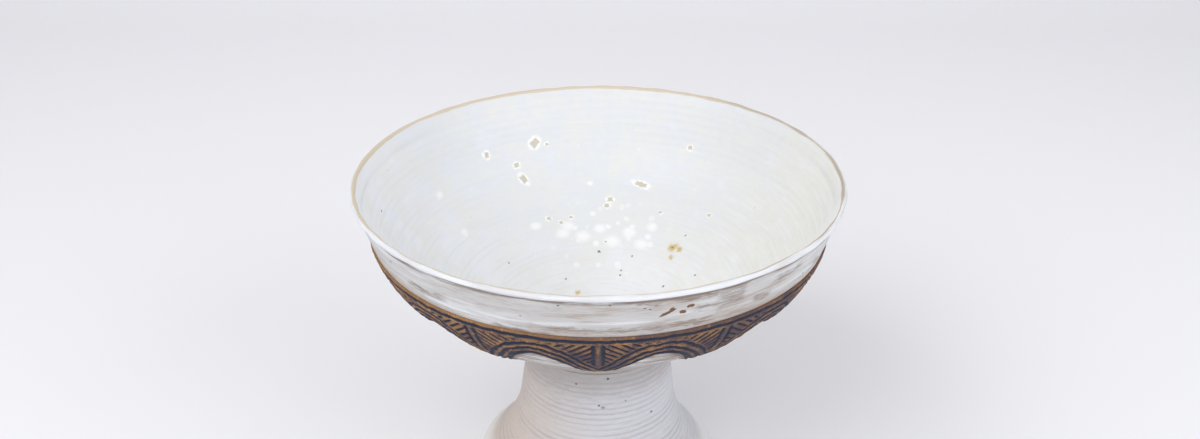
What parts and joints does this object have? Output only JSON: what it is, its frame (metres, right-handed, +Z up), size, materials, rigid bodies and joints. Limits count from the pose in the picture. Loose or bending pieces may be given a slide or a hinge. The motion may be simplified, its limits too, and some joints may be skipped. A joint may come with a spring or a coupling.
{
  "type": "footed bowl vase",
  "caption": "Wide wheel-thrown stoneware bowl on a hollow trumpet foot, with a rolled lip and a carved belt of pendant lappets, for standing on a table or floor as a vase or planter.",
  "frame": {"origin": "middle of the circle that the foot ring stands on", "axes": "+Z up along the throwing axis; X and Y are square to it, with a lappet tip on each; the picture looks along +Y"},
  "size_m": [0.39, 0.39, 0.277],
  "materials": {
    "milky_glaze": "satin",
    "iron_slip": "rough matt, carved",
    "pale_slip": "matt",
    "bare_clay": "matt"
  },
  "bodies": {
    "root": {"bowl": "milky_glaze", "carved_band": "iron_slip", "pedestal": "pale_slip", "luting_coil": "bare_clay"}
  },
  "joints": []
}
